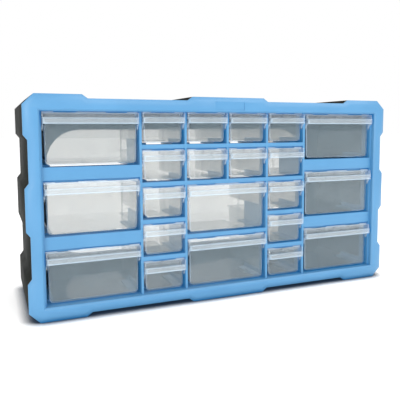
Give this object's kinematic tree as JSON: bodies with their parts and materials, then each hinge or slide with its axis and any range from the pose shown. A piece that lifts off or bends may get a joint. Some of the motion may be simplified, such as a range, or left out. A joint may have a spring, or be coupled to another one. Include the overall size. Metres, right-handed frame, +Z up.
{
  "type": "parts organizer",
  "caption": "Wide desktop cabinet with a notched blue front frame, a black open-backed shell and clear sliding drawers of two sizes for sorting small parts.",
  "frame": {"origin": "on the ground, under the middle of the cabinet's box", "axes": "+X is the cabinet's width, to the right as seen from the front; +Y runs from the front frame to the open back; +Z is up"},
  "size_m": [0.5, 0.16, 0.26],
  "materials": {
    "frame_blue": "satin moulded light blue plastic with a fine grain",
    "shell_black": "dark, slightly textured moulded plastic",
    "drawer_clear": "clear, slightly milky moulded polystyrene"
  },
  "bodies": {
    "cabinet": {"front_frame": "frame_blue", "rear_shell": "shell_black"},
    "large_drawer_left_1": {"large_drawer_left_1": "drawer_clear"},
    "large_drawer_right_1": {"large_drawer_right_1": "drawer_clear"},
    "large_drawer_left_2": {"large_drawer_left_2": "drawer_clear"},
    "large_drawer_right_2": {"large_drawer_right_2": "drawer_clear"},
    "large_drawer_left_3": {"large_drawer_left_3": "drawer_clear"},
    "large_drawer_right_3": {"large_drawer_right_3": "drawer_clear"},
    "small_drawer_row_1_column_1": {"small_drawer_row_1_column_1": "drawer_clear"},
    "small_drawer_row_1_column_2": {"small_drawer_row_1_column_2": "drawer_clear"},
    "small_drawer_row_1_column_3": {"small_drawer_row_1_column_3": "drawer_clear"},
    "small_drawer_row_1_column_4": {"small_drawer_row_1_column_4": "drawer_clear"},
    "small_drawer_row_2_column_1": {"small_drawer_row_2_column_1": "drawer_clear"},
    "small_drawer_row_2_column_2": {"small_drawer_row_2_column_2": "drawer_clear"},
    "small_drawer_row_2_column_3": {"small_drawer_row_2_column_3": "drawer_clear"},
    "small_drawer_row_2_column_4": {"small_drawer_row_2_column_4": "drawer_clear"},
    "small_drawer_row_3_column_1": {"small_drawer_row_3_column_1": "drawer_clear"},
    "small_drawer_row_3_column_4": {"small_drawer_row_3_column_4": "drawer_clear"},
    "small_drawer_row_4_column_1": {"small_drawer_row_4_column_1": "drawer_clear"},
    "small_drawer_row_4_column_4": {"small_drawer_row_4_column_4": "drawer_clear"},
    "small_drawer_row_5_column_1": {"small_drawer_row_5_column_1": "drawer_clear"},
    "small_drawer_row_5_column_4": {"small_drawer_row_5_column_4": "drawer_clear"},
    "large_drawer_centre_1": {"large_drawer_centre_1": "drawer_clear"},
    "large_drawer_centre_2": {"large_drawer_centre_2": "drawer_clear"}
  },
  "joints": [
    {"name": "large_drawer_left_1_slide", "type": "slide", "parent": "cabinet", "child": "large_drawer_left_1", "axis": [0, -1, 0], "range_m": [0, 0.105]},
    {"name": "large_drawer_right_1_slide", "type": "slide", "parent": "cabinet", "child": "large_drawer_right_1", "axis": [0, -1, 0], "range_m": [0, 0.105]},
    {"name": "large_drawer_left_2_slide", "type": "slide", "parent": "cabinet", "child": "large_drawer_left_2", "axis": [0, -1, 0], "range_m": [0, 0.105]},
    {"name": "large_drawer_right_2_slide", "type": "slide", "parent": "cabinet", "child": "large_drawer_right_2", "axis": [0, -1, 0], "range_m": [0, 0.105]},
    {"name": "large_drawer_left_3_slide", "type": "slide", "parent": "cabinet", "child": "large_drawer_left_3", "axis": [0, -1, 0], "range_m": [0, 0.105]},
    {"name": "large_drawer_right_3_slide", "type": "slide", "parent": "cabinet", "child": "large_drawer_right_3", "axis": [0, -1, 0], "range_m": [0, 0.105]},
    {"name": "small_drawer_row_1_column_1_slide", "type": "slide", "parent": "cabinet", "child": "small_drawer_row_1_column_1", "axis": [0, -1, 0], "range_m": [0, 0.105]},
    {"name": "small_drawer_row_1_column_2_slide", "type": "slide", "parent": "cabinet", "child": "small_drawer_row_1_column_2", "axis": [0, -1, 0], "range_m": [0, 0.105]},
    {"name": "small_drawer_row_1_column_3_slide", "type": "slide", "parent": "cabinet", "child": "small_drawer_row_1_column_3", "axis": [0, -1, 0], "range_m": [0, 0.105]},
    {"name": "small_drawer_row_1_column_4_slide", "type": "slide", "parent": "cabinet", "child": "small_drawer_row_1_column_4", "axis": [0, -1, 0], "range_m": [0, 0.105]},
    {"name": "small_drawer_row_2_column_1_slide", "type": "slide", "parent": "cabinet", "child": "small_drawer_row_2_column_1", "axis": [0, -1, 0], "range_m": [0, 0.105]},
    {"name": "small_drawer_row_2_column_2_slide", "type": "slide", "parent": "cabinet", "child": "small_drawer_row_2_column_2", "axis": [0, -1, 0], "range_m": [0, 0.105]},
    {"name": "small_drawer_row_2_column_3_slide", "type": "slide", "parent": "cabinet", "child": "small_drawer_row_2_column_3", "axis": [0, -1, 0], "range_m": [0, 0.105]},
    {"name": "small_drawer_row_2_column_4_slide", "type": "slide", "parent": "cabinet", "child": "small_drawer_row_2_column_4", "axis": [0, -1, 0], "range_m": [0, 0.105]},
    {"name": "small_drawer_row_3_column_1_slide", "type": "slide", "parent": "cabinet", "child": "small_drawer_row_3_column_1", "axis": [0, -1, 0], "range_m": [0, 0.105]},
    {"name": "small_drawer_row_3_column_4_slide", "type": "slide", "parent": "cabinet", "child": "small_drawer_row_3_column_4", "axis": [0, -1, 0], "range_m": [0, 0.105]},
    {"name": "small_drawer_row_4_column_1_slide", "type": "slide", "parent": "cabinet", "child": "small_drawer_row_4_column_1", "axis": [0, -1, 0], "range_m": [0, 0.105]},
    {"name": "small_drawer_row_4_column_4_slide", "type": "slide", "parent": "cabinet", "child": "small_drawer_row_4_column_4", "axis": [0, -1, 0], "range_m": [0, 0.105]},
    {"name": "small_drawer_row_5_column_1_slide", "type": "slide", "parent": "cabinet", "child": "small_drawer_row_5_column_1", "axis": [0, -1, 0], "range_m": [0, 0.105]},
    {"name": "small_drawer_row_5_column_4_slide", "type": "slide", "parent": "cabinet", "child": "small_drawer_row_5_column_4", "axis": [0, -1, 0], "range_m": [0, 0.105]},
    {"name": "large_drawer_centre_1_slide", "type": "slide", "parent": "cabinet", "child": "large_drawer_centre_1", "axis": [0, -1, 0], "range_m": [0, 0.105]},
    {"name": "large_drawer_centre_2_slide", "type": "slide", "parent": "cabinet", "child": "large_drawer_centre_2", "axis": [0, -1, 0], "range_m": [0, 0.105]}
  ]
}
